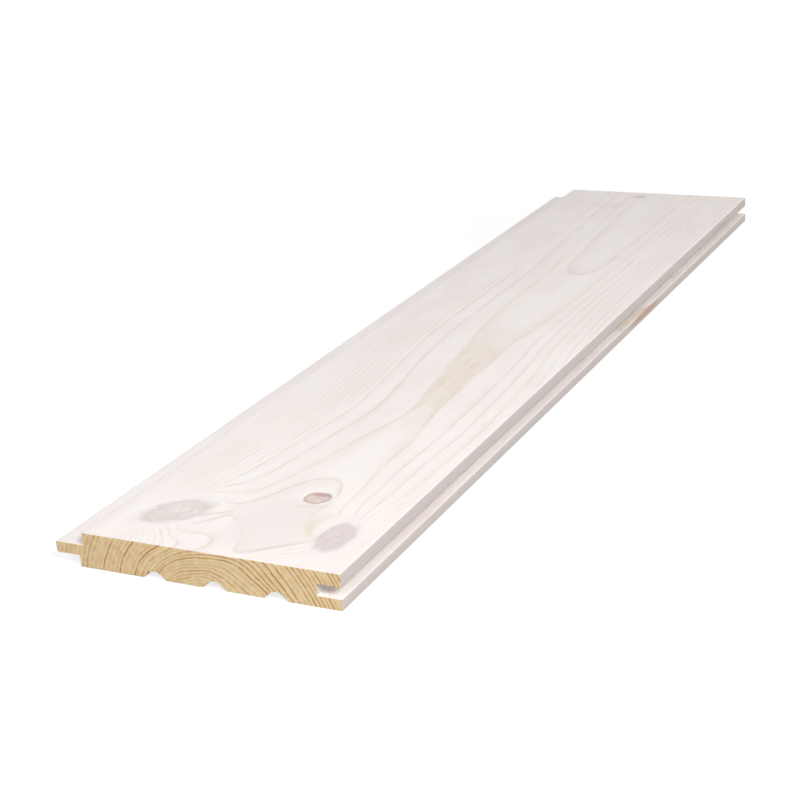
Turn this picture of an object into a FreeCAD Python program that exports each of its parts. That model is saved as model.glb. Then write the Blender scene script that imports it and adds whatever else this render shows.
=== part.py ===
"""A tongue and groove lining board: one planed length of pine, lying on its back.

X runs across the board, from the tongue at the low side to the groove at the high side.
Y runs along the grain. Z is up, from the ribbed back at 0 to the finished face.
The origin is the middle of the underside of the board's box. Sizes are in millimetres.
"""

import FreeCAD, Part
import math
import os

# Overall sizes
OVERALL_WIDTH = 120.0  # from the tongue's tip to the lips' edges
THICKNESS = 14.0
LENGTH = 513.0

# Tongue, and the shoulders above and below it
TONGUE_REACH = 12.4  # from the upper shoulder to the tip
TONGUE_THICKNESS = 4.3
FACE_TO_TONGUE = 5.05
LOWER_SHOULDER_STEP = 2.05  # how far the lower shoulder stands out past the upper one

# Groove, between an upper and a lower lip of one length
UPPER_LIP = 5.0
GROOVE_HEIGHT = 4.7
GROOVE_DEPTH = 9.7

# Relief channels along the back, which keep the board flat
CHANNEL_COUNT = 3
CHANNEL_WIDTH = 9.8
CHANNEL_DEPTH = 3.05
CHANNEL_FLANK_DEGREES = 45.0
CHANNEL_PITCH = 25.4
SHOULDER_TO_MIDDLE_CHANNEL = 55.9  # from the upper shoulder

# Rounding of the long edges that the planer's cutters leave
FACE_ARRIS = 0.35
BACK_ARRIS = 0.3
TONGUE_TIP_RADIUS = 0.45
INNER_CORNER_RADIUS = 0.3

TIP_X = -OVERALL_WIDTH / 2
LIP_X = OVERALL_WIDTH / 2
UPPER_SHOULDER_X = TIP_X + TONGUE_REACH
LOWER_SHOULDER_X = UPPER_SHOULDER_X - LOWER_SHOULDER_STEP
TONGUE_TOP_Z = THICKNESS - FACE_TO_TONGUE
TONGUE_BOTTOM_Z = TONGUE_TOP_Z - TONGUE_THICKNESS
GROOVE_FLOOR_X = LIP_X - GROOVE_DEPTH
GROOVE_TOP_Z = THICKNESS - UPPER_LIP
GROOVE_BOTTOM_Z = GROOVE_TOP_Z - GROOVE_HEIGHT
NEAR_END_Y = -LENGTH / 2


def at(x, z):
    """A point of the profile, at the board's near end."""
    return FreeCAD.Vector(x, NEAR_END_Y, z)


def rounded_corner(before, corner, after, radius):
    """The start, middle and end of the arc that rounds a corner of an outline."""
    to_before = (before - corner).normalize()
    to_after = (after - corner).normalize()
    half_angle = to_before.getAngle(to_after) / 2
    setback = radius / math.tan(half_angle)
    to_centre = (to_before + to_after).normalize()
    centre = corner + to_centre * (radius / math.sin(half_angle))
    return (
        corner + to_before * setback,
        centre - to_centre * radius,
        corner + to_after * setback,
    )


def rounded_outline(corners):
    """A closed wire through (point, radius) corners, with an arc at each of them."""
    count = len(corners)
    arcs = []
    for i, (point, radius) in enumerate(corners):
        before = corners[i - 1][0]
        after = corners[(i + 1) % count][0]
        arcs.append(rounded_corner(before, point, after, radius))
    edges = []
    for i, (start, middle, end) in enumerate(arcs):
        next_start = arcs[(i + 1) % count][0]
        edges.append(Part.Arc(start, middle, end).toShape())
        edges.append(Part.LineSegment(end, next_start).toShape())
    return Part.Wire(edges)


def board_outline():
    """The board's profile without its relief channels, anticlockwise from the back's tongue side."""
    return rounded_outline(
        [
            (at(LOWER_SHOULDER_X, 0), BACK_ARRIS),
            (at(LIP_X, 0), BACK_ARRIS),
            (at(LIP_X, GROOVE_BOTTOM_Z), BACK_ARRIS),
            (at(GROOVE_FLOOR_X, GROOVE_BOTTOM_Z), INNER_CORNER_RADIUS),
            (at(GROOVE_FLOOR_X, GROOVE_TOP_Z), INNER_CORNER_RADIUS),
            (at(LIP_X, GROOVE_TOP_Z), BACK_ARRIS),
            (at(LIP_X, THICKNESS), FACE_ARRIS),
            (at(UPPER_SHOULDER_X, THICKNESS), FACE_ARRIS),
            (at(UPPER_SHOULDER_X, TONGUE_TOP_Z), INNER_CORNER_RADIUS),
            (at(TIP_X, TONGUE_TOP_Z), TONGUE_TIP_RADIUS),
            (at(TIP_X, TONGUE_BOTTOM_Z), TONGUE_TIP_RADIUS),
            (at(LOWER_SHOULDER_X, TONGUE_BOTTOM_Z), INNER_CORNER_RADIUS),
        ]
    )


def channel_outline(middle_x):
    """One relief channel: a round crown between two straight flanks, which run on below the back."""
    flank = math.radians(CHANNEL_FLANK_DEGREES)
    run_below = 1.0  # how far the cutter's flanks go on past the back, for a clean cut
    rise = 1 / math.tan(flank)
    crown_radius = (CHANNEL_WIDTH / 2 - CHANNEL_DEPTH * rise) / (
        math.sin(flank) - (1 - math.cos(flank)) * rise
    )
    tangent_x = crown_radius * math.sin(flank)
    tangent_z = CHANNEL_DEPTH - crown_radius * (1 - math.cos(flank))
    foot_x = CHANNEL_WIDTH / 2 + run_below * rise
    left_foot = at(middle_x - foot_x, -run_below)
    left_top = at(middle_x - tangent_x, tangent_z)
    crown = at(middle_x, CHANNEL_DEPTH)
    right_top = at(middle_x + tangent_x, tangent_z)
    right_foot = at(middle_x + foot_x, -run_below)
    return Part.Wire(
        [
            Part.LineSegment(left_foot, left_top).toShape(),
            Part.Arc(left_top, crown, right_top).toShape(),
            Part.LineSegment(right_top, right_foot).toShape(),
            Part.LineSegment(right_foot, left_foot).toShape(),
        ]
    )


def run_along_grain(outline):
    """A profile carried the whole length of the board."""
    return Part.Face(outline).extrude(FreeCAD.Vector(0, LENGTH, 0))


def tongue_and_groove_board():
    """The board as one solid, with its tongue, groove and relief channels."""
    board = run_along_grain(board_outline())
    middle_channel_x = UPPER_SHOULDER_X + SHOULDER_TO_MIDDLE_CHANNEL
    for i in range(CHANNEL_COUNT):
        steps_from_middle = i - (CHANNEL_COUNT - 1) / 2
        channel_x = middle_channel_x + steps_from_middle * CHANNEL_PITCH
        board = board.cut(run_along_grain(channel_outline(channel_x)))
    return board.Solids[0]


def main():
    os.makedirs("parts", exist_ok=True)
    board = tongue_and_groove_board()
    print("board: valid", board.isValid(), "volume cm3", round(board.Volume / 1000, 2))
    board.exportStep("parts/board.step")


main()
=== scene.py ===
"""A whitewashed tongue and groove board of pine, with its grain, knots and sawn ends, in a pale studio.

The board lies on its back. X runs across it, from the tongue to the groove, Y along the grain,
and Z up to the finished face. Everything is in metres.
"""

import math
from collections import namedtuple

import bmesh
import bpy
import numpy as np
from bpy.props import FloatProperty, FloatVectorProperty, IntProperty, PointerProperty
from mathutils import Matrix, Vector, noise


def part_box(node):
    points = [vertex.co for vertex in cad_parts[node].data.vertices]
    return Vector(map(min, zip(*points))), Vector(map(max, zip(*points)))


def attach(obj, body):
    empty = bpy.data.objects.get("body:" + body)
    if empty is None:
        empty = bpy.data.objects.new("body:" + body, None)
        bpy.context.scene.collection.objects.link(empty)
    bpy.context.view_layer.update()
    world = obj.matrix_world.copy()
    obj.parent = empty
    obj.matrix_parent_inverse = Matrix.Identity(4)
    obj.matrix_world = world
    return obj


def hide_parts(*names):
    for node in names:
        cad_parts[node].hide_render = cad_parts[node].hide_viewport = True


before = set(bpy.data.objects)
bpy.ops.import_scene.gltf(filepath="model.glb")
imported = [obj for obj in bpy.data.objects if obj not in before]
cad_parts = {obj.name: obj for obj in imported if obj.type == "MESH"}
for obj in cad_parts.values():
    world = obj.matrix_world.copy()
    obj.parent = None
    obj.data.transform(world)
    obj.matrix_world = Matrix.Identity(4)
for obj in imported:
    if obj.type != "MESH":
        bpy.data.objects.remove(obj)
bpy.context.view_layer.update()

bl_info = {
    "name": "Whitewashed tongue and groove board",
    "version": (1, 0, 0),
    "blender": (4, 5, 0),
    "location": "View3D > Sidebar > Board",
    "description": "Makes a whitewashed pine lining board and the studio it is shown in",
    "category": "Add Mesh",
}

LOWEST, HIGHEST = (Vector(corner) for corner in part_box("board"))
BOARD_SIZE = HIGHEST - LOWEST

MM = 0.001
X, Y, Z = range(3)

# A drying check in a knot: its turn from the grain in degrees, its length, and where its middle is
Check = namedtuple("Check", "turn length ahead aside")

# A branch where it meets the face, how many rings it bends over what reach, and how far it has shrunk
Knot = namedtuple(
    "Knot", "name across along width length turn rings_bent reach_across reach_along sunk checks"
)

KNOTS = (
    Knot("grey", 24.3, 28.0, 19, 28, 42, 5.2, 11.5, 14, 0.10, (
        Check(62, 9, 1.5, 0.6), Check(56, 6, -0.5, -1.5), Check(12, 5, 1.0, 0.0), Check(105, 5, 0.5, 1.0),
    )),
    Knot("red", 69.6, 54.2, 10.5, 10.8, 0, 0.35, 9, 10, 0.16, (
        Check(75, 6, 0.5, 0.8), Check(20, 4, 0.5, 0.0),
    )),
    Knot("mauve", 92.3, 26.0, 13.0, 25, -4, 4.2, 10, 15, 0.08, (
        Check(50, 3.5, 1.0, 0.0), Check(110, 3, 0.0, -1.0),
    )),
)

# The rings at a place along the face: their middle, the ring there and beside it, and how flat they lie
Station = namedtuple("Station", "along middle ring outer flat")

STATIONS = (
    Station(0, 58, 0.05, 0.1, 3),
    Station(3, 63, 0.0, 0.1, 4),
    Station(9, 67, -0.15, 0.05, 6),
    Station(20, 66, -0.35, 0.0, 9),
    Station(38, 60, -0.5, 0.0, 13),
    Station(56, 63, -0.35, 0.05, 10),
    Station(71, 65, 0.0, 0.1, 6),
    Station(85, 66, 0.3, 0.2, 4),
    Station(110, 68, 0.5, 0.35, 3),
    Station(133, 70, 0.8, 0.5, 2),
    Station(150, 70, 0.9, 0.6, 3),
    Station(170, 68.5, 0.93, 0.65, 6),
    Station(210, 65, 0.93, 0.65, 12),
    Station(240, 63, 0.88, 0.6, 13),
    Station(252, 63, 0.76, 0.5, 12),
    Station(265, 63, 0.55, 0.4, 11),
    Station(300, 63.5, 0.22, 0.2, 8),
    Station(335, 64, 0.05, 0.0, 5),
    Station(345, 64, -0.04, -0.05, 4),
    Station(354, 64, -0.25, -0.1, 4),
    Station(366, 63.5, -0.42, -0.15, 5),
    Station(400, 62.5, -0.55, -0.3, 6),
    Station(513, 60, -0.8, -0.75, 7),
)

# On the tongue side two years grew twice as wide: the even ring count, and what it counts as there
WIDE_YEARS = ((-30, 0.94, 4.94, 40.94), (-30, 0.94, 2.94, 38.94))

# The pith, where the branches start: mm below the face, and from the upper shoulder
PITH_DEPTH = 26.0
PITH_ACROSS = 57.0

# A stain: its middle and size in mm, its turn, its colour in display steps, its strength and soft edge
Stain = namedtuple("Stain", "across along depth width length thickness turn colour strength edge")

# Yellowed and shaded wood round the knots, under their own colours
STAINS_ROUND_KNOTS = (
    Stain(66, 28, 0, 34, 46, 2, 0, (243, 233, 230), 0.8, 0.4),
    Stain(84.3, 32.0, 0, 15, 20, 2, -8, (240, 231, 214), 0.8, 0.35),
    Stain(79.8, 29.0, 0, 3.4, 9, 2, -25, (230, 216, 190), 0.35, 0.6),
    Stain(88.4, 32.5, 0, 14, 19, 2, -8, (250, 243, 240), 0.95, 0.3),
    Stain(71.0, 46.8, 0, 2.4, 12, 2, 72, (238, 229, 218), 0.9, 0.4),
    Stain(14.0, 19.0, 0, 8, 12, 2, 30, (238, 228, 226), 0.5, 0.8),
)

# Darker marks over the knots, on the face's far end and on the lips
STAINS_ON_TOP = (
    Stain(21.0, 21.8, 0, 7.5, 9, 2, 38, (229, 222, 209), 0.7, 0.6),
    Stain(33.2, 34.2, 0, 4.0, 6, 2, 38, (222, 211, 198), 0.6, 0.6),
    Stain(39.5, 30.5, 0, 1.2, 13, 2, 55, (228, 214, 202), 0.8, 0.6),
    Stain(76.0, 12.5, 0, 1.8, 24, 2, 52, (229, 213, 207), 0.75, 0.6),
    Stain(89.3, 17.0, 0, 1.4, 6, 2, 8, (212, 203, 201), 0.5, 0.7),
    Stain(69.9, 57.1, 0, 7.4, 2.6, 2, 0, (184, 156, 148), 0.75, 0.5),
    Stain(70.8, 52.0, 0, 4.2, 2.2, 2, 30, (236, 226, 218), 0.6, 0.6),
    Stain(45.5, 503.5, 0, 8.5, 5.0, 2, 0, (222, 210, 208), 0.8, 0.4),
    Stain(33.5, 481.5, 0, 17, 14, 2, 0, (240, 229, 228), 0.5, 0.5),
    Stain(12.0, 478.0, 0, 10, 30, 2, 10, (243, 226, 226), 0.4, 0.7),
    Stain(105.2, 311.0, 9.7, 9, 40, 1.6, 0, (240, 228, 216), 0.8, 0.12),
    Stain(107.6, 326.0, 11.4, 3.2, 42, 3.2, 0, (196, 168, 150), 0.85, 0.45),
    Stain(107.6, 461.0, 3.6, 1.6, 26, 2.6, 0, (204, 188, 182), 0.6, 0.5),
)

# The board's material slots
GLAZED, SAWN, BARE = range(3)

# How near a vertex is to the face, and to a sawn end, that counts as on it, in mm
ON_FACE = 0.01
AT_END = 0.001

# Rows of vertices along the board, as (length in mm, rows): close at the knots and the lip's knot
STRETCHES = ((80, 50), (200, 32), (90, 45), (143, 24))
# How far apart the rows of vertices are across the board and up its sides
ROWS_ACROSS = 2.0 * MM
ROWS_UP = 1.4 * MM
# How many flats make a channel's round crown, and a rounded corner
CROWN_SEGMENTS = 10
CORNER_SEGMENTS = 3
# How much finer the mesh is on the knots and on the ends
KNOT_CUTS = 6
END_CUTS = 3


def length_property(name, description, default):
    """A length that a user may change."""
    return FloatProperty(name=name, description=description, unit="LENGTH", default=default)


class BoardSizes(bpy.types.PropertyGroup):
    """The board's section, as the planer cuts it."""

    overall_width: length_property("Overall width", "From the tongue's tip to the lips", BOARD_SIZE.x)
    thickness: length_property("Thickness", "From the back to the face", BOARD_SIZE.z)
    length: length_property("Length", "Along the grain", BOARD_SIZE.y)
    tongue_reach: length_property("Tongue reach", "From the upper shoulder to the tip", 12.4 * MM)
    tongue_thickness: length_property("Tongue thickness", "Thickness of the tongue", 4.3 * MM)
    face_to_tongue: length_property("Face to tongue", "Depth of the upper shoulder", 5.05 * MM)
    lower_shoulder_step: length_property(
        "Lower shoulder step", "How far it stands out past the upper one", 2.05 * MM
    )
    upper_lip: length_property("Upper lip", "Thickness of the lip above the groove", 5.0 * MM)
    groove_height: length_property("Groove height", "Between the lips", 4.7 * MM)
    groove_depth: length_property("Groove depth", "From the lips' edges to the groove's floor", 9.7 * MM)
    channel_width: length_property("Channel width", "Width of a relief channel at the back", 9.8 * MM)
    channel_depth: length_property("Channel depth", "Depth of a relief channel", 3.05 * MM)
    channel_pitch: length_property("Channel pitch", "From one channel to the next", 25.4 * MM)
    middle_channel: length_property(
        "Middle channel", "From the upper shoulder to the middle channel", 55.9 * MM
    )
    channels: IntProperty(
        name="Channels", description="How many relief channels run along the back", default=3, min=0
    )
    arris: length_property("Arris", "Rounding of the long outer edges", 0.35 * MM)
    inner_rounding: length_property("Inner rounding", "Rounding of the inner corners", 0.3 * MM)


def linear(red, green, blue):
    """A colour given in display steps of 0 to 255, as the linear colour that Blender holds."""
    steps = (red / 255, green / 255, blue / 255)
    return tuple(s / 12.92 if s <= 0.04045 else ((s + 0.055) / 1.055) ** 2.4 for s in steps)


def colour_property(name, description, *steps):
    """A colour that a user may change, with its default in display steps."""
    return FloatVectorProperty(name=name, description=description, subtype="COLOR", default=linear(*steps))


def share_property(name, description, default):
    """A share from 0 to 1 that a user may change."""
    return FloatProperty(
        name=name, description=description, subtype="FACTOR", default=default, min=0, max=1
    )


class BoardFinish(bpy.types.PropertyGroup):
    """The colours of the glazed face and of the bare wood, with a painted shade for the faces turned to the
    groove's side.
    """

    glaze: colour_property("Glaze", "Whitewash over early wood", 254, 248, 244)
    glaze_shade: colour_property("Glaze shade", "Where the whitewash lies thinner", 250, 242, 238)
    # Painted shade: a greyer glaze for the lips' sides and the groove's inner wall, standing in for the shade
    # they lie in
    lip_side_painted_shade: colour_property("Lip side", "The thinner whitewash on the lips' sides", 214, 206, 202)
    line_brown: colour_property("Brown line", "Late wood showing through the whitewash", 224, 205, 197)
    line_yellow: colour_property("Yellow line", "Resinous late wood under the whitewash", 230, 215, 196)
    end_light: colour_property("End light", "Early wood on the sawn end", 249, 224, 178)
    end_dark: colour_property("End dark", "Late wood on the sawn end", 190, 134, 68)
    back_light: colour_property("Back light", "Early wood on the planed back", 233, 209, 173)
    back_dark: colour_property("Back dark", "Late wood on the planed back", 202, 158, 108)
    back_knot: colour_property("Back knot", "A knot on the planed back", 178, 124, 82)
    back_knot_ring: colour_property("Back knot ring", "The rings of a knot on the back", 150, 98, 62)
    back_knot_rim: colour_property("Back knot rim", "The rim of a knot on the back", 112, 70, 46)
    roughness: share_property("Roughness", "Roughness of the whitewash", 0.7)
    gloss: share_property("Gloss", "Strength of the whitewash's reflections", 0.25)


def power_property(name, description, default):
    """A lamp's power that a user may change."""
    return FloatProperty(name=name, description=description, unit="POWER", default=default)


def place_property(name, description, *place):
    """A place that a user may change."""
    return FloatVectorProperty(
        name=name, description=description, subtype="XYZ", unit="LENGTH", default=place
    )


class StudioSettings(bpy.types.PropertyGroup):
    """The lamps, the sky, the floor and the camera."""

    lamp_watts: power_property("Lamp", "Power of the main lamp", 9.2)
    lamp_size: length_property("Lamp size", "Width of the main lamp", 0.35)
    lamp_place: place_property("Lamp place", "Where the main lamp hangs", 0.75, -0.75, 0.72)
    fill_watts: power_property("Fill", "Power of the wide lamp in front", 4.1)
    fill_size: length_property("Fill size", "Width of the wide lamp in front", 1.0)
    fill_place: place_property("Fill place", "Where the wide lamp hangs", -0.5, -0.95, 0.85)
    side_watts: power_property("Side", "Power of the low lamp that faces the groove", 3.0)
    side_place: place_property("Side place", "Where the low lamp stands", 1.05, 0.6, 0.22)
    sky: share_property("Sky", "Level of the light from all round", 0.4)
    floor: share_property("Floor", "Share of the light that the floor sends back", 0.3)
    lens: FloatProperty(name="Lens", description="Focal length in mm", default=76.57)


def profile_corners(sizes):
    """The section's corners as (x, z, rounding), anticlockwise from the back's tongue side."""
    tip = LOWEST.x
    lip = tip + sizes.overall_width
    top = sizes.thickness
    upper_shoulder = tip + sizes.tongue_reach
    lower_shoulder = upper_shoulder - sizes.lower_shoulder_step
    tongue_top = top - sizes.face_to_tongue
    tongue_bottom = tongue_top - sizes.tongue_thickness
    groove_floor = lip - sizes.groove_depth
    groove_top = top - sizes.upper_lip
    groove_bottom = groove_top - sizes.groove_height
    arris, inner = sizes.arris, sizes.inner_rounding

    corners = [(lower_shoulder, 0, arris)]
    half = sizes.channel_width / 2
    flank = math.radians(45)
    crown = (half - sizes.channel_depth) / (math.sin(flank) - (1 - math.cos(flank)))
    for i in range(sizes.channels):
        steps_from_middle = i - (sizes.channels - 1) / 2
        middle = upper_shoulder + sizes.middle_channel + steps_from_middle * sizes.channel_pitch
        corners += [(middle - half, 0, 0), (middle, half, crown), (middle + half, 0, 0)]
    corners += [
        (lip, 0, arris),
        (lip, groove_bottom, arris),
        (groove_floor, groove_bottom, inner),
        (groove_floor, groove_top, inner),
        (lip, groove_top, arris),
        (lip, top, arris),
        (upper_shoulder, top, arris),
        (upper_shoulder, tongue_top, inner),
        (tip, tongue_top, arris),
        (tip, tongue_bottom, arris),
        (lower_shoulder, tongue_bottom, inner),
    ]
    return corners


def profile_face(bm, sizes):
    """The board's section as one face at the near end, with its corners rounded."""
    corners = profile_corners(sizes)
    verts = [bm.verts.new((x, LOWEST.y, z)) for x, z, rounding in corners]
    bm.faces.new(verts)
    for rounding in sorted({corner[2] for corner in corners} - {0}):
        to_round = [v for v, corner in zip(verts, corners) if corner[2] == rounding]
        segments = CROWN_SEGMENTS if rounding > MM else CORNER_SEGMENTS
        bmesh.ops.bevel(
            bm, geom=to_round, offset=rounding, offset_type="OFFSET", segments=segments, profile=0.5,
            affect="VERTICES", material=-1,
        )


def slice_across(bm, axis, start, stop, step):
    """Cuts the section into strips, so that relief has vertices to move."""
    normal = Vector([1.0 if i == axis else 0.0 for i in range(3)])
    count = round((stop - start) / step)
    for i in range(1, count):
        point = normal * (start + (stop - start) * i / count)
        whole = bm.verts[:] + bm.edges[:] + bm.faces[:]
        bmesh.ops.bisect_plane(bm, geom=whole, dist=1e-6, plane_co=point, plane_no=normal)


def carry_along_grain(bm, stretches, length):
    """Sweeps the section along the board's length, in stretches of (length in mm, rows)."""
    whole = sum(stretch for stretch, rows in stretches)
    last = bm.verts[:] + bm.edges[:] + bm.faces[:]
    for stretch, rows in stretches:
        step = (0, length * stretch / whole / rows, 0)
        swept = bmesh.ops.spin(
            bm, geom=last, cent=(0, 0, 0), axis=(0, 0, 1), angle=0, dvec=step, steps=rows,
            use_merge=False, use_duplicate=False,
        )
        last = swept["geom_last"]
    bmesh.ops.recalc_face_normals(bm, faces=bm.faces[:])


def ramp(value, start, stop):
    """A soft step from 0 to 1 as value goes from start to stop."""
    share = np.clip((value - start) / (stop - start), 0, 1)
    return share * share * (3 - 2 * share)


def between(low, high, share):
    """A value that goes from low to high as share goes from 0 to 1."""
    return low + (high - low) * share


def bell(offset, reach):
    """1 where the offset is 0, falling off to nothing over about twice the reach."""
    return np.exp(-((offset / reach) ** 2))


def station_curve(field, along):
    """A station's value at each distance along the board, eased from one station to the next."""
    places = np.array([s.along for s in STATIONS], float)
    values = np.array([getattr(s, field) for s in STATIONS], float)
    slopes = np.gradient(values, places)
    i = np.clip(np.searchsorted(places, along) - 1, 0, len(places) - 2)
    gap = places[i + 1] - places[i]
    t = np.clip((along - places[i]) / gap, 0, 1)
    return (
        (2 * t**3 - 3 * t**2 + 1) * values[i]
        + (t**3 - 2 * t**2 + t) * gap * slopes[i]
        + (3 * t**2 - 2 * t**3) * values[i + 1]
        + (t**3 - t**2) * gap * slopes[i + 1]
    )


def rings_middle(across, along, depth):
    """Where the rings reach highest, in mm across: it wanders along the face and leans at the near end."""
    end_middle, end_run = 60, 40
    lean_middle, lean_reach, lean_run = 52, 24, 4
    beside = 1 - bell(across - 62, 18)
    middle = between(station_curve("middle", along), end_middle, beside * (1 - ramp(along, 0, end_run)))
    leaning = bell(across - lean_middle, lean_reach) * (1 - ramp(along, 0, lean_run))
    return middle - (0.75 * depth + 4 * ramp(depth, 0, 8)) * leaning


def rings_outwards(offset, along, depth, groove_side):
    """How far out from the middle's ring a place is, in mm: the rings are arches with a flat crown."""
    from_end = ramp(along, 0, 70)
    end_flat = between(2, 6, ramp(along, 0, 40))
    side = np.abs(offset)
    flat = end_flat + (station_curve("flat", along) - end_flat) * bell(side, 26)
    side = side * side / (side + flat)
    squash = between(between(1.0, 0.8, from_end), between(1.9, 0.5, from_end), groove_side)
    radius = between(between(26, 30, from_end), between(45, 30, from_end), groove_side)
    radius = radius * (1 + 0.5 * ramp(along, 250, 500) * bell(offset, 15))
    return np.sqrt(squash * side**2 + (radius - depth) ** 2) - radius


def width_of_ring(offset, along, outwards, groove_side):
    """How wide a year's ring is, in mm: narrow by the pith and far along the groove side."""
    tongue_core, groove_core, outer = 1.6, 1.3, 1.95
    width = between(between(tongue_core, groove_core, groove_side), outer, ramp(outwards, -1, 9))
    return width * (1 - 0.35 * ramp(along, 180, 320) * (1 - bell(offset, 20)) * groove_side)


def growth_rings(across, along, depth):
    """Which growth ring each point of the wood is in, counted outwards. All three are in mm."""
    offset = across - rings_middle(across, along, depth)
    groove_side = ramp(offset, -6, 6)
    outwards = rings_outwards(offset, along, depth, groove_side)
    shown = between(station_curve("outer", along), station_curve("ring", along), bell(offset, 15))
    rings = outwards / width_of_ring(offset, along, outwards, groove_side) + shown
    rings = between(np.interp(rings, *WIDE_YEARS), rings, groove_side)
    towards_pith = (PITH_DEPTH - depth) / PITH_DEPTH
    for knot in KNOTS:
        branch = PITH_ACROSS + (knot.across - PITH_ACROSS) * towards_pith
        near = ((across - branch) / knot.reach_across) ** 2 + ((along - knot.along) / knot.reach_along) ** 2
        rings = rings - knot.rings_bent * np.exp(-near / 2) * towards_pith * ramp(along, -2.1, 11.9)
    return rings


def ring_spacing(place, normals):
    """How far apart the growth rings lie on the surface, in mm: wide where it cuts them at a slant."""
    slope = []
    for axis in range(3):
        half_step = np.zeros((3, 1))
        half_step[axis] = 0.5
        slope.append(growth_rings(*(place + half_step)) - growth_rings(*(place - half_step)))
    slope = np.array(slope)
    along_surface = slope - (slope * normals).sum(0) * normals
    return 1 / np.maximum(np.linalg.norm(along_surface, axis=0), 0.01)


def turned_offset(across, along, degrees):
    """An offset on the face, as (aside, down) along axes that are turned by these degrees."""
    turn = math.radians(degrees)
    aside = across * math.cos(turn) - along * math.sin(turn)
    down = across * math.sin(turn) + along * math.cos(turn)
    return aside, down


def knot_reach(knot, across, along):
    """How far a place on the face is from the knot's middle, where 1 is the knot's edge."""
    aside, down = turned_offset(across - knot.across, along - knot.along, knot.turn)
    return np.hypot(aside / (knot.width / 2), down / (knot.length / 2))


def check_opening(knot, across, along):
    """How open the knot's drying checks are at a place on the face, from 0 to 1."""
    half_width, taper, waver = 0.42, 1.5, 0.35
    opened = np.zeros_like(across)
    for check in knot.checks:
        aside, down = turned_offset(across - knot.across, along - knot.along, check.turn)
        down = down - check.ahead
        aside = aside - check.aside + waver * np.sin(1.1 * down + check.turn)
        slim = ramp(np.abs(aside), half_width, 0)
        short = ramp(np.abs(down), check.length / 2, check.length / 2 - taper)
        opened = np.maximum(opened, slim * short)
    return opened


def lumps(places, size, along_size=None):
    """Smooth unevenness from -1 to 1 at places in mm, with lumps of this size in mm."""
    along_size = along_size or size
    return np.array([noise.noise(Vector((x / size, y / along_size, z / size))) for x, y, z in places.T])


def board_places(bm, sizes):
    """Every vertex's mm from the upper shoulder, from the near end and below the face."""
    spots = np.array([v.co[:] for v in bm.verts]) / MM
    shoulder = (LOWEST.x + sizes.tongue_reach) / MM
    return np.array([spots[:, 0] - shoulder, spots[:, 1] - LOWEST.y / MM, sizes.thickness / MM - spots[:, 2]])


def divide(bm, faces, cuts):
    """Divides these faces, so that small relief has vertices to move."""
    edges = dict.fromkeys(edge for face in faces for edge in face.edges)
    bmesh.ops.subdivide_edges(bm, edges=list(edges), cuts=cuts, use_grid_fill=True)


def divide_knots_and_ends(bm, sizes):
    """Makes the mesh finer on the knots and on the two sawn ends."""
    shoulder = LOWEST.x + sizes.tongue_reach
    clear_of_arris = 0.3
    for knot in KNOTS:
        knotty = []
        for face in bm.faces:
            middle = face.calc_center_median()
            across, along = (middle.x - shoulder) / MM, (middle.y - LOWEST.y) / MM
            if face.normal.z > 0.99 and middle.z > sizes.thickness - 0.01 * MM:
                on_knot = knot_reach(knot, across, along) < 1.15 and clear_of_arris < across
                if on_knot and len(face.verts) == 4:
                    knotty.append(face)
        divide(bm, knotty, KNOT_CUTS)
    divide(bm, [face for face in bm.faces if face.material_index == SAWN], END_CUTS)


def sort_parts(parts, key):
    """Sorts the mesh's vertices, edges or faces by a key that can be compared."""
    ranks = {part: rank for rank, part in enumerate(sorted(parts, key=key))}
    parts.sort(key=ranks.get)
    parts.index_update()


def sort_mesh(bm):
    """Puts the mesh in one order, as dividing it leaves the order of the new parts to chance."""
    sort_parts(bm.verts, lambda vert: vert.co[:])
    for parts in (bm.edges, bm.faces):
        sort_parts(parts, lambda part: sorted(vert.index for vert in part.verts))


def note_grain(bm, sizes):
    """Writes the growth ring, its spacing on the surface and the knots' checks to every vertex."""
    widest = 40
    bm.normal_update()
    place = board_places(bm, sizes)
    across, along, depth = place
    normals = np.array([(v.normal.x, v.normal.y, -v.normal.z) for v in bm.verts]).T
    spacing = np.minimum(ring_spacing(place, normals), widest)
    rings = growth_rings(*place) + np.minimum(0.3, 0.8 / spacing) * lumps(place, 16, 70)
    checks = sum(check_opening(knot, across, along) for knot in KNOTS) * (depth < ON_FACE)
    for name, values in (("ring", rings), ("spacing", spacing), ("check", checks)):
        layer = bm.verts.layers.float.new(name)
        for vert, value in zip(bm.verts, values.tolist()):
            vert[layer] = value


def shift(bm, axis, distances):
    """Moves every vertex along an axis by its distance in mm."""
    for vert, distance in zip(bm.verts, distances.tolist()):
        vert.co[axis] += distance * MM


def press_knots(bm, sizes):
    """Sinks the knots a little below the face, with their rims, their rings and their checks."""
    ragged, check_depth = 0.12, 0.35
    body_share, rim_share, ring_share = 0.5, 0.6, 0.25
    place = board_places(bm, sizes)
    across, along, depth = place
    pressed = np.zeros_like(across)
    rough = lumps(place, 2.5)
    for knot in KNOTS:
        reach = knot_reach(knot, across, along) + ragged * rough
        body = ramp(reach, 1.05, 0.85)
        rim = bell(reach - 0.98, 0.07)
        ripple = 0.5 + 0.5 * np.sin(reach * 22)
        pressed += knot.sunk * (body_share * body + rim_share * rim + ring_share * body * ripple)
        pressed += check_depth * check_opening(knot, across, along) * body
    pressed[depth > ON_FACE] = 0
    shift(bm, Z, -pressed)


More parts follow.
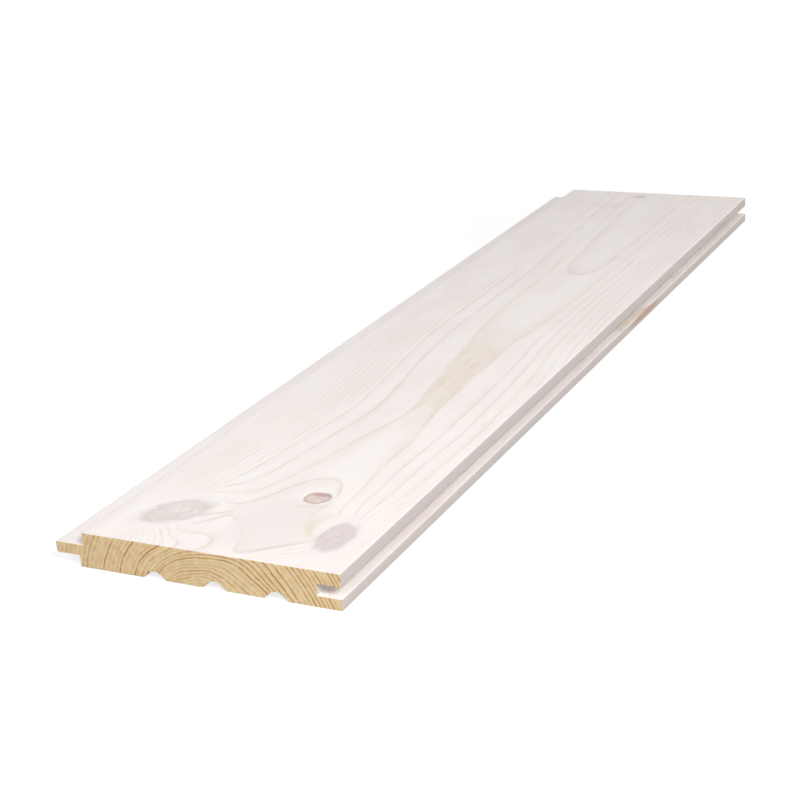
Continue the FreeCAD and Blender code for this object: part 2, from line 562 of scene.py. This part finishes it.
def cut_ends(bm, sizes):
    """Marks the ends with the saw's arcs and torn early wood, and chips their edges."""
    saw_across, saw_above, saw_pitch = 190, 150, 3.1
    saw_depth, tear_depth, chip_depth = 0.035, 0.05, 0.3
    place = board_places(bm, sizes)
    across, along, depth = place
    length = sizes.length / MM
    layer = bm.verts.layers.float["ring"]
    ring = np.array([v[layer] for v in bm.verts])
    at_end = (along < AT_END) | (along > length - AT_END)
    at_rim = [any(face.material_index != SAWN for face in v.link_faces) for v in bm.verts]
    arcs = np.hypot(across - saw_across, depth + saw_above) + 0.5 * lumps(place, 14)
    marks = 0.5 + 0.5 * np.sin(arcs * 2 * math.pi / saw_pitch)
    early = 1 - ramp(np.mod(ring, 1), 0.45, 0.75)
    torn = np.maximum(saw_depth * (marks - 0.35), 0)
    torn += tear_depth * early * np.maximum(lumps(place, 0.9) + 0.2, 0)
    chipped = chip_depth * ramp(lumps(place, 1.7), 0.12, 0.52) * (np.array(at_rim) & at_end)
    inwards = np.where(along < length / 2, 1, -1) * (torn + chipped) * at_end
    shift(bm, Y, inwards)


def wear_long_edges(bm, sizes):
    """Takes small dents out of the face's long edges, and the torn knot out of the lower lip."""
    dent_depth, tear_depth = 0.14, 0.4
    tear_along, tear_below = 329, 9.7
    tear_reach = (3, 17, 1.6)
    place = board_places(bm, sizes)
    across, along, depth = place
    face_width = (sizes.overall_width - sizes.tongue_reach) / MM
    arris = sizes.arris / MM
    left = (np.abs(across) < arris) & (depth < arris)
    right = (np.abs(across - face_width) < arris) & (depth < arris)
    dent = dent_depth * ramp(lumps(place, 6, 13), 0.1, 0.5) * ramp(depth, 0, arris)
    from_tear = (across - face_width, along - tear_along, depth - tear_below)
    away = np.sqrt(sum((offset / reach) ** 2 for offset, reach in zip(from_tear, tear_reach)))
    tear = tear_depth * ramp(away, 1.2, 0.2) * (0.8 + 0.5 * lumps(place, 4)) * (depth > 9)
    shift(bm, X, dent * left - dent * right - tear)
    shift(bm, Z, -dent * (left | right) - 0.5 * tear)


def mark_surfaces(bm, sizes):
    """Gives each face the glaze, the sawn end or the bare back."""
    bm.normal_update()
    shoulder = LOWEST.x + sizes.tongue_reach
    above_channels = sizes.channel_depth + 0.1 * MM
    for face in bm.faces:
        middle = face.calc_center_median()
        face.smooth = True
        in_channel = 0.4 * MM < middle.z < above_channels and shoulder < middle.x < HIGHEST.x - 3 * MM
        if abs(face.normal.y) > 0.9:
            face.material_index = SAWN
        elif face.normal.z < -0.6 and middle.z < above_channels or in_channel:
            face.material_index = BARE
        else:
            face.material_index = GLAZED


def keep_corners_crisp(bm):
    """Shades the profile's corners sharp and its rounded parts smooth."""
    sharpest = math.radians(32)
    for edge in bm.edges:
        edge.smooth = edge.calc_face_angle(0) < sharpest


class NodeTree:
    """Adds nodes to a material or a group, with sockets or plain values as their inputs."""

    def __init__(self, tree):
        self.tree = tree

    def feed(self, socket, value):
        if isinstance(value, bpy.types.NodeSocket):
            self.tree.links.new(value, socket)
        elif value is not None:
            socket.default_value = value

    def add(self, kind, inputs=(), **settings):
        node = self.tree.nodes.new(kind)
        for name, value in settings.items():
            setattr(node, name, value)
        for name, value in dict(inputs).items():
            self.feed(node.inputs[name], value)
        return node

    def group(self, group, inputs):
        """A node of this group with these inputs."""
        return self.add("ShaderNodeGroup", inputs, node_tree=group).outputs

    def axes(self, position):
        """A position's X, Y and Z."""
        return self.add("ShaderNodeSeparateXYZ", {0: position}).outputs

    def math(self, operation, first, second=None, clamp=False):
        node = self.add("ShaderNodeMath", {0: first, 1: second}, operation=operation, use_clamp=clamp)
        return node.outputs[0]

    def times(self, first, *others):
        """The product of these values."""
        for other in others:
            first = self.math("MULTIPLY", first, other)
        return first

    def plus(self, first, second):
        return self.math("ADD", first, second)

    def minus(self, first, second):
        return self.math("SUBTRACT", first, second)

    def vector(self, operation, first, second=None):
        node = self.add("ShaderNodeVectorMath", {0: first, 1: second}, operation=operation)
        return node.outputs["Value" if operation == "LENGTH" else "Vector"]

    def step(self, value, start, stop, low=0.0, high=1.0):
        """A soft step from low to high as value goes from start to stop."""
        inputs = {"Value": value, "From Min": start, "From Max": stop, "To Min": low, "To Max": high}
        return self.add("ShaderNodeMapRange", inputs, interpolation_type="SMOOTHSTEP").outputs[0]

    def reach(self, offset, turn, half_size):
        """How far out an offset is, where 1 is the edge of an oval with this turn and half size."""
        inputs = {"Vector": offset, "Angle": turn}
        straight = self.add("ShaderNodeVectorRotate", inputs, rotation_type="Z_AXIS").outputs[0]
        return self.vector("LENGTH", self.vector("DIVIDE", straight, half_size))

    def soft_edge(self, reach, softness):
        """1 inside the oval and 0 outside it, with an edge this soft between them."""
        return self.step(reach, self.plus(softness, 1.0), self.minus(1.0, softness))

    def noise(self, position, grain, detail, roughness=0.5):
        """Noise whose lumps have the size of grain, in metres, along each axis."""
        scaled = self.vector("MULTIPLY", position, tuple(1 / size for size in grain))
        inputs = {"Vector": scaled, "Scale": 1.0, "Detail": detail, "Roughness": roughness}
        return self.add("ShaderNodeTexNoise", inputs).outputs[0]

    def mix(self, share, first, second):
        """A colour that goes from first to second as share goes from 0 to 1."""
        node = self.add("ShaderNodeMix", data_type="RGBA")
        self.feed(node.inputs[0], share)
        for socket, value in ((node.inputs[6], first), (node.inputs[7], second)):
            if not isinstance(value, bpy.types.NodeSocket):
                value = (*value, 1.0)
            self.feed(socket, value)
        return node.outputs[2]


FLOAT, VECTOR = "NodeSocketFloat", "NodeSocketVector"


def new_group(name, inputs, outputs):
    """An empty node group with these inputs, its masks as outputs, and the sockets of both."""
    group = bpy.data.node_groups.new(name, "ShaderNodeTree")
    for socket_name, kind in inputs:
        group.interface.new_socket(socket_name, in_out="INPUT", socket_type=kind)
    for socket_name in outputs:
        group.interface.new_socket(socket_name, in_out="OUTPUT", socket_type=FLOAT)
    nodes = NodeTree(group)
    start = nodes.add("NodeGroupInput")
    end = nodes.add("NodeGroupOutput")
    return group, nodes, start.outputs, end.inputs


# Where in a ring, from 0 to 1, its dark late wood is darkest, and where it has ended
LATE_WOOD = 0.93
LATE_WOOD_END = 0.95


def pine_grain_group():
    """Late wood lines from the ring count, and the fine fibres and mottling between them."""
    group, nodes, start, end = new_group(
        "pine_grain",
        [("Position", VECTOR), ("Ring", FLOAT), ("Line start", FLOAT), ("Waver", FLOAT)],
        ["Late wood", "Late tint", "Bold year", "Resin", "Fibre", "Mottle"],
    )
    position = start["Position"]
    waver = nodes.noise(position, (3 * MM, 40 * MM, 3 * MM), detail=3)
    ring = nodes.plus(start["Ring"], nodes.times(nodes.minus(waver, 0.5), start["Waver"]))
    part = nodes.math("FRACT", ring)
    count = nodes.math("FLOOR", ring)
    tone = nodes.add("ShaderNodeTexWhiteNoise", {"W": count}, noise_dimensions="1D").outputs["Value"]
    rise = nodes.step(part, start["Line start"], LATE_WOOD)
    fall = nodes.step(part, LATE_WOOD_END, 1.0, 1.0, 0.0)
    inner_rings = nodes.step(nodes.math("ABSOLUTE", nodes.plus(count, 0.5)), 2.6, 1.4)
    strength = nodes.math("MAXIMUM", nodes.step(tone, 0.0, 1.0, 0.3, 1.0), inner_rings)
    nodes.feed(end["Late wood"], nodes.times(rise, fall, strength))
    nodes.feed(end["Late tint"], nodes.times(nodes.step(part, 0.5, LATE_WOOD), fall))
    every_fourth = nodes.math("COSINE", nodes.times(nodes.minus(count, 2.0), math.pi / 2))
    nodes.feed(end["Bold year"], nodes.step(every_fourth, 0.5, 0.9))
    every_third = nodes.math("COSINE", nodes.times(count, 2 * math.pi / 3))
    nodes.feed(end["Resin"], nodes.step(every_third, 0.0, 1.0))
    fibre = nodes.noise(position, (0.45 * MM, 14 * MM, 0.45 * MM), detail=3, roughness=0.6)
    nodes.feed(end["Fibre"], fibre)
    nodes.feed(end["Mottle"], nodes.noise(position, (14 * MM, 55 * MM, 14 * MM), detail=3))
    return group


def branch_knot_group():
    """A branch that runs out from the pith: its body, rim, rings, blotches and the pale wood round it."""
    group, nodes, start, end = new_group(
        "branch_knot",
        [
            ("Position", VECTOR), ("Centre", VECTOR), ("Half size", VECTOR), ("Turn", FLOAT),
            ("Pith x", FLOAT), ("Pith depth", FLOAT), ("Softness", FLOAT), ("Unevenness", FLOAT),
        ],
        ["Body", "Rim", "Rings", "Blotch", "Halo", "Heart"],
    )
    position = start["Position"]
    place = nodes.axes(position)
    goal = nodes.axes(start["Centre"])
    below = nodes.minus(goal[Z], place[Z])
    spread = nodes.math("DIVIDE", start["Pith depth"], nodes.minus(start["Pith depth"], below))
    from_pith = nodes.minus(place[X], start["Pith x"])
    x = nodes.minus(nodes.plus(nodes.times(from_pith, spread), start["Pith x"]), goal[X])
    y = nodes.times(nodes.minus(place[Y], goal[Y]), spread)
    offset = nodes.add("ShaderNodeCombineXYZ", {0: x, 1: y, 2: 0.0}).outputs[0]
    broad = nodes.noise(position, (5 * MM, 7 * MM, 5 * MM), detail=4, roughness=0.6)
    uneven = nodes.times(nodes.minus(broad, 0.5), start["Unevenness"])
    reach = nodes.plus(nodes.reach(offset, start["Turn"], start["Half size"]), uneven)
    body = nodes.soft_edge(reach, start["Softness"])
    nodes.feed(end["Body"], body)
    nodes.feed(end["Rim"], nodes.times(nodes.step(reach, 0.6, 0.95), body))
    rings = nodes.math("SINE", nodes.times(reach, 24.0))
    nodes.feed(end["Rings"], nodes.times(nodes.step(rings, -0.4, 1.0), body))
    blotch = nodes.noise(position, (2.2 * MM, 3.0 * MM, 2.2 * MM), detail=4, roughness=0.65)
    nodes.feed(end["Blotch"], nodes.times(nodes.step(blotch, 0.42, 0.66), body))
    nodes.feed(end["Halo"], nodes.step(reach, 1.0, 1.7, 1.0, 0.0))
    nodes.feed(end["Heart"], nodes.step(reach, 0.1, 0.4, 1.0, 0.0))
    return group


def stain_group():
    """A soft, ragged patch round a point."""
    group, nodes, start, end = new_group(
        "soft_stain",
        [("Position", VECTOR), ("Centre", VECTOR), ("Half size", VECTOR), ("Turn", FLOAT), ("Edge", FLOAT)],
        ["Mask"],
    )
    offset = nodes.vector("SUBTRACT", start["Position"], start["Centre"])
    ragged = nodes.noise(start["Position"], (2.5 * MM, 5 * MM, 2.5 * MM), detail=3)
    reach = nodes.plus(nodes.reach(offset, start["Turn"], start["Half size"]), nodes.times(ragged, 0.5))
    nodes.feed(end["Mask"], nodes.soft_edge(nodes.minus(reach, 0.25), start["Edge"]))
    return group


def on_board(sizes, across, along, depth=0.0):
    """A place in mm from the upper shoulder, the near end and the face, as a point in the scene."""
    shoulder = LOWEST.x + sizes.tongue_reach
    return (shoulder + across * MM, LOWEST.y + along * MM, sizes.thickness - depth * MM)


def place_knot(nodes, group, position, sizes, knot, softness=0.05, unevenness=0.5):
    """The knot's masks over the surface."""
    inputs = {
        "Position": position,
        "Centre": on_board(sizes, knot.across, knot.along),
        "Half size": (knot.width / 2 * MM, knot.length / 2 * MM, 1.0),
        "Turn": math.radians(knot.turn),
        "Pith x": on_board(sizes, PITH_ACROSS, 0)[0],
        "Pith depth": PITH_DEPTH * MM,
        "Softness": softness,
        "Unevenness": unevenness,
    }
    return nodes.group(group, inputs)


def add_stains(nodes, group, position, sizes, stains, colour):
    """The colour with these stains laid over it."""
    for stain in stains:
        inputs = {
            "Position": position,
            "Centre": on_board(sizes, stain.across, stain.along, stain.depth),
            "Half size": (stain.width / 2 * MM, stain.length / 2 * MM, stain.thickness / 2 * MM),
            "Turn": math.radians(stain.turn),
            "Edge": stain.edge,
        }
        share = nodes.times(nodes.group(group, inputs)["Mask"], stain.strength)
        colour = nodes.mix(share, colour, linear(*stain.colour))
    return colour


def empty_material(name):
    """A material with nothing in it but an output, and that output's surface."""
    material = bpy.data.materials.new(name)
    material.use_nodes = True
    material.node_tree.nodes.clear()
    nodes = NodeTree(material.node_tree)
    return material, nodes, nodes.add("ShaderNodeOutputMaterial").inputs["Surface"]


def start_material(name):
    """A material with a Principled shader, and the board's own coordinates."""
    material, nodes, surface = empty_material(name)
    shader = nodes.add("ShaderNodeBsdfPrincipled")
    nodes.feed(surface, shader.outputs[0])
    position = nodes.add("ShaderNodeTexCoord").outputs["Object"]
    return material, nodes, shader, position


def finish_material(nodes, shader, colour, roughness, height, strength, distance):
    """Gives the shader its colour, its roughness, and relief of this strength and distance."""
    nodes.feed(shader.inputs["Base Color"], colour)
    nodes.feed(shader.inputs["Roughness"], roughness)
    bump = nodes.add("ShaderNodeBump", {"Strength": strength, "Distance": distance, "Height": height})
    nodes.feed(shader.inputs["Normal"], bump.outputs[0])


def noted(nodes, name):
    """What note_grain wrote to the board's vertices under this name."""
    return nodes.add("ShaderNodeAttribute", attribute_name=name).outputs["Fac"]


def grain_at(nodes, groups, position, end, width, widest, waver):
    """The grain's masks. A line ends at this share of a ring, and is at most the widest share of it."""
    share = nodes.math("DIVIDE", width / MM, noted(nodes, "spacing"))
    inputs = {
        "Position": position,
        "Ring": noted(nodes, "ring"),
        "Line start": nodes.minus(end, nodes.math("MINIMUM", share, widest)),
        "Waver": waver,
    }
    return nodes.group(groups.grain, inputs)


# How a knot shows through the glaze: its colours, the share of each, and how soft and uneven it is
KnotLook = namedtuple(
    "KnotLook", "body dark rim heart halo check cover blotched ringed rimmed hearted softness unevenness"
)

KNOT_LOOKS = {
    "grey": KnotLook(
        (238, 228, 226), (219, 206, 203), (218, 204, 202), (247, 239, 232), (253, 249, 246), (196, 178, 170),
        0.95, 0.9, 0.25, 0.5, 0.6, 0.24, 0.75,
    ),
    "red": KnotLook(
        (231, 213, 206), (213, 188, 180), (196, 168, 161), (233, 219, 210), (253, 250, 245), (150, 114, 104),
        0.97, 0.45, 0.3, 0.7, 0.5, 0.1, 0.4,
    ),
    "mauve": KnotLook(
        (227, 215, 216), (216, 203, 204), (222, 210, 212), (230, 219, 220), (247, 240, 238), (200, 186, 186),
        0.95, 0.8, 0.2, 0.35, 0.0, 0.2, 0.6,
    ),
}


def add_knot(nodes, colour, mask, look, check):
    """The colour with a knot laid over it."""
    dark = linear(*look.dark)
    wood = nodes.mix(nodes.times(mask["Blotch"], look.blotched), linear(*look.body), dark)
    wood = nodes.mix(nodes.times(mask["Rings"], look.ringed), wood, dark)
    wood = nodes.mix(nodes.times(mask["Heart"], look.hearted), wood, linear(*look.heart))
    wood = nodes.mix(nodes.times(mask["Rim"], look.rimmed), wood, linear(*look.rim))
    wood = nodes.mix(nodes.times(check, 0.8), wood, linear(*look.check))
    return nodes.mix(nodes.times(mask["Body"], look.cover), colour, wood)


def whitewashed_pine(sizes, finish, groups):
    """Planed pine under a thin white glaze, for the face, the tongue and the groove's lips."""
    material, nodes, shader, position = start_material("whitewashed_pine")
    spacing = noted(nodes, "spacing")
    spread = nodes.step(spacing, 4.0, 14.0)
    waver = nodes.step(spread, 0.0, 1.0, 0.2, 0.03)
    grain = grain_at(nodes, groups, position, end=0.94, width=1.3 * MM, widest=0.34, waver=waver)
    x, y, z = nodes.axes(position)
    facing = nodes.axes(nodes.add("ShaderNodeNewGeometry").outputs["Normal"])
    # Faces turned to +X, the lips' sides and the groove's inner wall, which get painted shade
    painted_shade_mask = nodes.step(facing[X], 0.6, 0.9)
    colour = nodes.mix(nodes.step(grain["Mottle"], 0.35, 0.65), finish.glaze, finish.glaze_shade)
    colour = nodes.mix(nodes.step(grain["Fibre"], 0.4, 0.75, 0.0, 0.14), colour, finish.line_brown)

    line_colour = nodes.mix(grain["Resin"], finish.line_brown, finish.line_yellow)
    patchy = nodes.step(nodes.noise(position, (4 * MM, 22 * MM, 4 * MM), detail=3), 0.35, 0.65, 0.5, 1.0)
    on_face = nodes.step(z, sizes.thickness - 3 * MM, sizes.thickness - 1 * MM, 0.15, 1.0)
    tint = nodes.times(grain["Late tint"], nodes.step(spread, 0.0, 1.0, 0.12, 0.28), on_face, patchy)
    colour = nodes.mix(tint, colour, line_colour)
    broken = nodes.step(grain["Fibre"], 0.3, 0.65, 0.3, 0.75)
    shoulder = LOWEST.x + sizes.tongue_reach
    by_shoulder = nodes.step(x, shoulder + 6 * MM, shoulder + 20 * MM, 0.2, 1.0)
    farther = nodes.step(y, 0.0, 150 * MM, 1.0, 0.6)
    apart = nodes.step(spacing, 0.6, 2.4, 0.1, 0.85)
    line = nodes.times(grain["Late wood"], broken, patchy, by_shoulder, farther, apart, on_face)
    colour = nodes.mix(line, colour, line_colour)
    # Painted shade: the faces turned to +X take the greyer lip side colour
    colour = nodes.mix(painted_shade_mask, colour, finish.lip_side_painted_shade)

    check = noted(nodes, "check")
    knots = []
    for knot in KNOTS:
        look = KNOT_LOOKS[knot.name]
        mask = place_knot(nodes, groups.knot, position, sizes, knot, look.softness, look.unevenness)
        knots.append((mask, look))
        colour = nodes.mix(nodes.times(mask["Halo"], 0.75), colour, linear(*look.halo))
    colour = add_stains(nodes, groups.stain, position, sizes, STAINS_ROUND_KNOTS, colour)
    for mask, look in knots:
        colour = add_knot(nodes, colour, mask, look, check)
    colour = add_stains(nodes, groups.stain, position, sizes, STAINS_ON_TOP, colour)

    nodes.feed(shader.inputs["Specular IOR Level"], finish.gloss)
    roughness = nodes.step(grain["Late wood"], 0.0, 1.0, finish.roughness, finish.roughness - 0.1)
    height = nodes.plus(grain["Late wood"], nodes.times(grain["Fibre"], 0.6))
    finish_material(nodes, shader, colour, roughness, height, strength=0.3, distance=0.05 * MM)
    return material


def sawn_end(sizes, finish, groups):
    """Bare end grain, crossed by the growth rings and by fine rays from the pith."""
    material, nodes, shader, position = start_material("sawn_end_grain")
    grain = grain_at(nodes, groups, position, end=LATE_WOOD, width=0.85 * MM, widest=0.48, waver=0.3)
    pith_x, _, pith_z = on_board(sizes, PITH_ACROSS, 0, PITH_DEPTH)
    from_pith = nodes.vector("SUBTRACT", position, (pith_x, 0.0, pith_z))
    aside, _, up = nodes.axes(from_pith)
    angle = nodes.math("ARCTAN2", aside, up)
    distance = nodes.vector("LENGTH", nodes.vector("MULTIPLY", from_pith, (1.0, 0.0, 1.0)))
    fan = nodes.add("ShaderNodeCombineXYZ", {0: nodes.times(angle, 0.04), 1: distance, 2: 0.0}).outputs[0]
    rays = nodes.noise(fan, (0.16 * MM, 2.5 * MM, 1.0), detail=2, roughness=0.6)
    speckle = nodes.noise(position, (0.35 * MM, 1.0, 0.35 * MM), detail=3, roughness=0.7)
    uneven = nodes.noise(position, (2.5 * MM, 1.0, 2.5 * MM), detail=3, roughness=0.6)

    faintest, plainest = 0.42, 0.85
    plain = nodes.step(aside, -25 * MM, 15 * MM, faintest, plainest)
    line = nodes.times(grain["Late wood"], nodes.math("MAXIMUM", plain, grain["Bold year"]))
    twice_a_ring = nodes.math("COSINE", nodes.times(noted(nodes, "ring"), 4 * math.pi))
    fine = nodes.step(twice_a_ring, 0.0, 1.0, 0.0, 0.35)
    fine = nodes.times(fine, nodes.step(plain, faintest, plainest, 1.0, 0.2))
    line = nodes.math("MAXIMUM", line, fine)
    line = nodes.times(line, nodes.step(distance, 13 * MM, 18 * MM, 0.3, 1.0))
    line = nodes.math("MULTIPLY", line, nodes.step(uneven, 0.3, 0.6, 0.55, 1.25), clamp=True)
    colour = nodes.mix(nodes.step(uneven, 0.35, 0.7, 0.0, 0.16), finish.end_light, finish.end_dark)
    colour = nodes.mix(line, colour, finish.end_dark)
    colour = nodes.mix(nodes.step(speckle, 0.5, 0.75, 0.0, 0.35), colour, finish.end_dark)
    colour = nodes.mix(nodes.step(rays, 0.5, 0.75, 0.0, 0.1), colour, finish.end_light)
    roughness = nodes.step(line, 0.0, 1.0, 0.85, 0.7)
    height = nodes.plus(nodes.plus(line, speckle), nodes.times(rays, 0.5))
    finish_material(nodes, shader, colour, roughness, height, strength=0.5, distance=0.08 * MM)
    return material


def planed_back(sizes, finish, groups):
    """Bare planed pine, for the back and its relief channels."""
    material, nodes, shader, position = start_material("planed_back")
    inputs = {"Position": position, "Ring": noted(nodes, "ring"), "Line start": 0.5, "Waver": 0.2}
    grain = nodes.group(groups.grain, inputs)
    colour = nodes.mix(nodes.times(grain["Late wood"], 0.8), finish.back_light, finish.back_dark)
    colour = nodes.mix(nodes.step(grain["Fibre"], 0.35, 0.75, 0.0, 0.3), colour, finish.back_dark)
    for knot in KNOTS:
        mask = place_knot(nodes, groups.knot, position, sizes, knot)
        wood = nodes.mix(mask["Rings"], finish.back_knot, finish.back_knot_ring)
        wood = nodes.mix(mask["Rim"], wood, finish.back_knot_rim)
        colour = nodes.mix(nodes.times(mask["Body"], 0.9), colour, wood)
    roughness = nodes.step(grain["Late wood"], 0.0, 1.0, 0.75, 0.6)
    height = nodes.plus(grain["Late wood"], nodes.times(grain["Fibre"], 0.6))
    finish_material(nodes, shader, colour, roughness, height, strength=0.4, distance=0.08 * MM)
    return material


def finish_piece(context, name, bm):
    """A new object at the origin, with this mesh."""
    mesh = bpy.data.meshes.new(name)
    bm.to_mesh(mesh)
    bm.free()
    piece = bpy.data.objects.new(name, mesh)
    context.scene.collection.objects.link(piece)
    return piece


Groups = namedtuple("Groups", "grain knot stain")


class OBJECT_OT_whitewashed_board(bpy.types.Operator):
    """Makes the board: its section carried along the grain, with its rings, knots and finishes."""

    bl_idname = "object.whitewashed_board"
    bl_label = "Whitewashed Board"

    def execute(self, context):
        sizes, finish = context.scene.board_sizes, context.scene.board_finish
        bm = bmesh.new()
        profile_face(bm, sizes)
        slice_across(bm, X, LOWEST.x, LOWEST.x + sizes.overall_width, ROWS_ACROSS)
        slice_across(bm, Z, 0, sizes.thickness, ROWS_UP)
        carry_along_grain(bm, STRETCHES, sizes.length)
        mark_surfaces(bm, sizes)
        divide_knots_and_ends(bm, sizes)
        sort_mesh(bm)
        note_grain(bm, sizes)
        press_knots(bm, sizes)
        cut_ends(bm, sizes)
        wear_long_edges(bm, sizes)
        keep_corners_crisp(bm)
        board = finish_piece(context, "whitewashed_board", bm)
        groups = Groups(pine_grain_group(), branch_knot_group(), stain_group())
        for make in (whitewashed_pine, sawn_end, planed_back):
            board.data.materials.append(make(sizes, finish, groups))
        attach(board, "root")
        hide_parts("board")
        return {"FINISHED"}


WHITE = (1.0, 1.0, 1.0, 1.0)


def studio_floor(context, settings):
    """A wide white floor that keeps the board's shadow and shows as plain white elsewhere."""
    half_width, gap = 8.0, 0.1 * MM
    lifted_to, lifted_radius, plain_radius = 1.08, 0.2, 1.0
    bm = bmesh.new()
    bmesh.ops.create_grid(bm, x_segments=1, y_segments=1, size=half_width)
    bmesh.ops.translate(bm, verts=bm.verts[:], vec=(0, 0, -gap))
    floor = finish_piece(context, "studio_floor", bm)
    material, nodes, surface = empty_material("studio_floor")
    paint = nodes.add("ShaderNodeBsdfDiffuse", {"Color": (settings.floor,) * 3 + (1.0,)})
    away = nodes.vector("LENGTH", nodes.add("ShaderNodeTexCoord").outputs["Object"])
    glow = nodes.step(away, lifted_radius, plain_radius, lifted_to - settings.floor, 1.0)
    seen = nodes.add("ShaderNodeLightPath").outputs["Is Camera Ray"]
    lift = nodes.add("ShaderNodeEmission", {"Color": WHITE, "Strength": nodes.times(glow, seen)})
    both = nodes.add("ShaderNodeAddShader", {0: paint.outputs[0], 1: lift.outputs[0]})
    nodes.feed(surface, both.outputs[0])
    floor.data.materials.append(material)


def studio_sky(context, settings):
    """A white world that lights the board softly and shows as white itself."""
    world = bpy.data.worlds.new("studio_sky")
    context.scene.world = world
    world.use_nodes = True
    world.node_tree.nodes.clear()
    nodes = NodeTree(world.node_tree)
    output = nodes.add("ShaderNodeOutputWorld")
    rays = nodes.add("ShaderNodeLightPath").outputs
    seen = nodes.math("ADD", rays["Is Camera Ray"], rays["Is Glossy Ray"], clamp=True)
    seen = nodes.math("ADD", seen, rays["Is Transmission Ray"], clamp=True)
    strength = nodes.plus(nodes.times(seen, 1 - settings.sky), settings.sky)
    sky = nodes.add("ShaderNodeBackground", {"Color": WHITE, "Strength": strength})
    nodes.feed(output.inputs["Surface"], sky.outputs[0])


def studio_lamps(context, settings):
    """A main lamp beyond the camera's right, a wide one in front, and a low one that faces the groove."""
    lamps = (
        ("main_lamp", settings.lamp_watts, settings.lamp_place, settings.lamp_size),
        ("fill_lamp", settings.fill_watts, settings.fill_place, settings.fill_size),
        ("side_lamp", settings.side_watts, settings.side_place, settings.lamp_size),
    )
    for name, watts, place, size in lamps:
        lamp = bpy.data.lights.new(name, "AREA")
        lamp.shape = "DISK"
        lamp.size = size
        lamp.energy = watts
        holder = bpy.data.objects.new(name, lamp)
        turn = (-Vector(place)).to_track_quat("-Z", "Y").to_matrix().to_4x4()
        holder.matrix_world = Matrix.Translation(place) @ turn
        context.scene.collection.objects.link(holder)


# The camera, fitted to the board's straight edges in the photograph
CAMERA_PLACE = (0.32155, -0.70601, 0.27297)
CAMERA_RIGHT = Vector((0.89697, 0.43670, -0.06879))
CAMERA_UP = Vector((-0.09798, 0.34811, 0.93232))


def studio_camera(context, settings):
    """The camera at the photograph's place."""
    view = bpy.data.cameras.new("camera")
    view.sensor_fit = "HORIZONTAL"
    view.sensor_width = 36
    view.lens = settings.lens
    camera = bpy.data.objects.new("camera", view)
    turn = Matrix((CAMERA_RIGHT, CAMERA_UP, CAMERA_RIGHT.cross(CAMERA_UP))).transposed().to_4x4()
    camera.matrix_world = Matrix.Translation(CAMERA_PLACE) @ turn
    context.scene.collection.objects.link(camera)
    context.scene.camera = camera


class OBJECT_OT_board_studio(bpy.types.Operator):
    """Makes the floor, the sky, the lamps and the camera."""

    bl_idname = "object.board_studio"
    bl_label = "Board Studio"

    def execute(self, context):
        settings = context.scene.board_studio
        for make in (studio_floor, studio_sky, studio_lamps, studio_camera):
            make(context, settings)
        context.scene.view_settings.view_transform = "Standard"
        return {"FINISHED"}


class VIEW3D_PT_board(bpy.types.Panel):
    """Shows the buttons that make the board and the studio, and their settings."""

    bl_idname = "VIEW3D_PT_board"
    bl_label = "Tongue and Groove Board"
    bl_space_type = "VIEW_3D"
    bl_region_type = "UI"
    bl_category = "Board"

    def draw(self, context):
        layout = self.layout
        layout.operator(OBJECT_OT_whitewashed_board.bl_idname)
        layout.operator(OBJECT_OT_board_studio.bl_idname)
        for group in (context.scene.board_sizes, context.scene.board_finish, context.scene.board_studio):
            box = layout.box()
            for name in group.__annotations__:
                box.prop(group, name)


CLASSES = (
    BoardSizes,
    BoardFinish,
    StudioSettings,
    OBJECT_OT_whitewashed_board,
    OBJECT_OT_board_studio,
    VIEW3D_PT_board,
)


def register():
    for cls in CLASSES:
        bpy.utils.register_class(cls)
    bpy.types.Scene.board_sizes = PointerProperty(type=BoardSizes)
    bpy.types.Scene.board_finish = PointerProperty(type=BoardFinish)
    bpy.types.Scene.board_studio = PointerProperty(type=StudioSettings)


def unregister():
    del bpy.types.Scene.board_studio
    del bpy.types.Scene.board_finish
    del bpy.types.Scene.board_sizes
    for cls in reversed(CLASSES):
        bpy.utils.unregister_class(cls)


def main():
    """Makes the scene."""
    register()
    bpy.ops.object.whitewashed_board()
    bpy.ops.object.board_studio()


if __name__ == "__main__":
    main()
